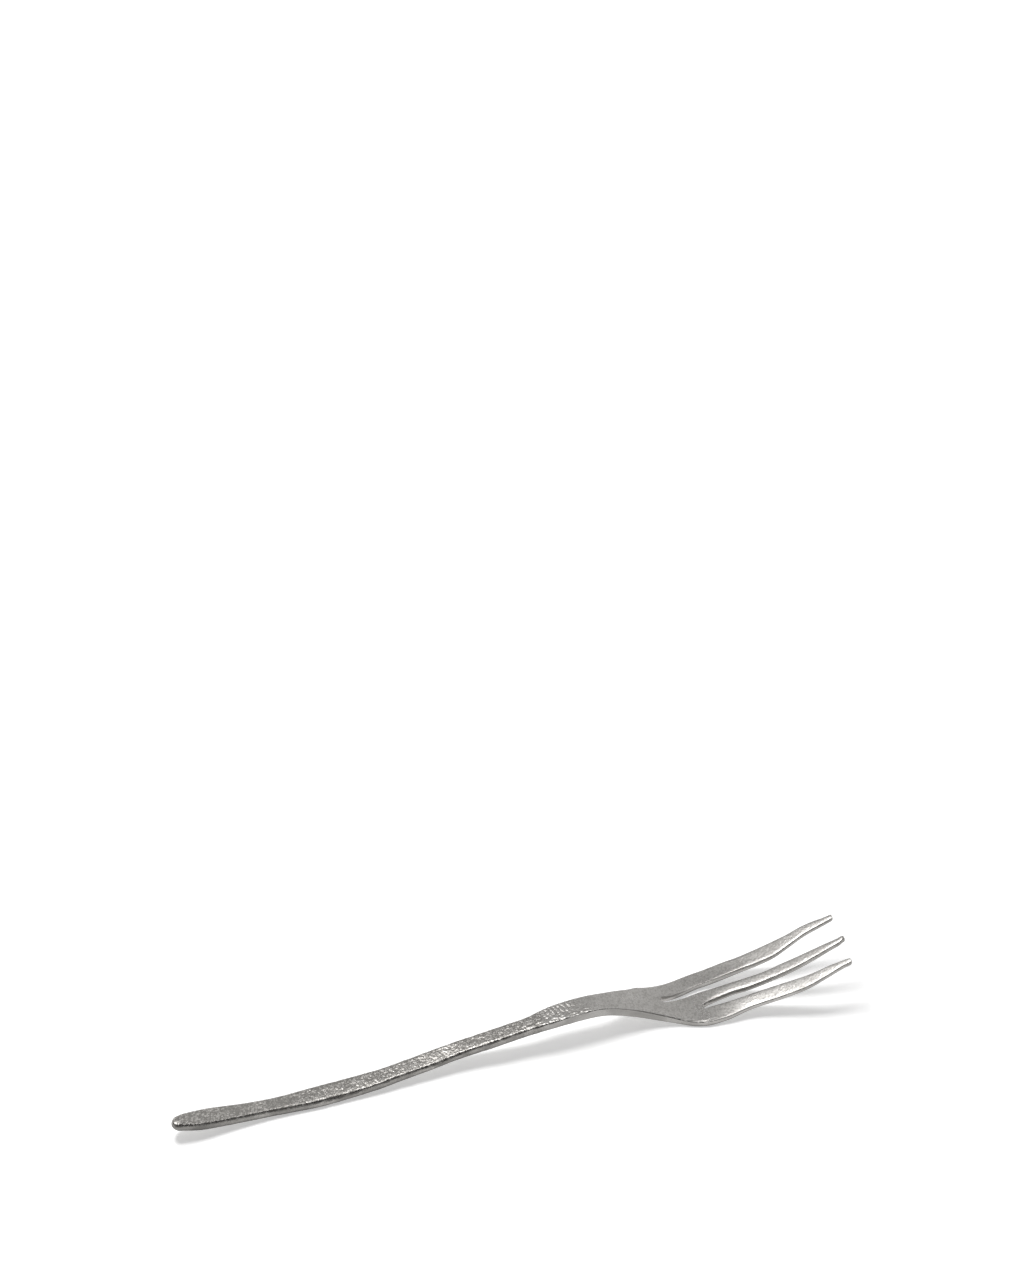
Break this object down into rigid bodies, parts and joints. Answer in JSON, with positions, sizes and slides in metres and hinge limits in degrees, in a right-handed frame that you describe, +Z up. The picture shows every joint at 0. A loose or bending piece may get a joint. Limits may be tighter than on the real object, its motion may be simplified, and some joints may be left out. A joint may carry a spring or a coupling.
{
  "type": "dessert fork",
  "caption": "Slim one-piece dessert fork: a lightly textured bar handle, an arched neck and a shallow head with slender upturned tines, in satin steel.",
  "frame": {"origin": "middle of the fork's length and width, on the table that it lies on", "axes": "+X from the handle end to the tine tips, +Y to the left of the tines, +Z up from the table"},
  "size_m": [0.16, 0.016, 0.0125],
  "materials": {
    "textured_steel": "satin, with a pitted cast grain",
    "satin_steel": "smooth satin"
  },
  "bodies": {
    "root": {"handle": "textured_steel", "neck": "satin_steel", "head": "satin_steel", "left_tine": "satin_steel", "middle_tine": "satin_steel", "right_tine": "satin_steel"}
  },
  "joints": []
}
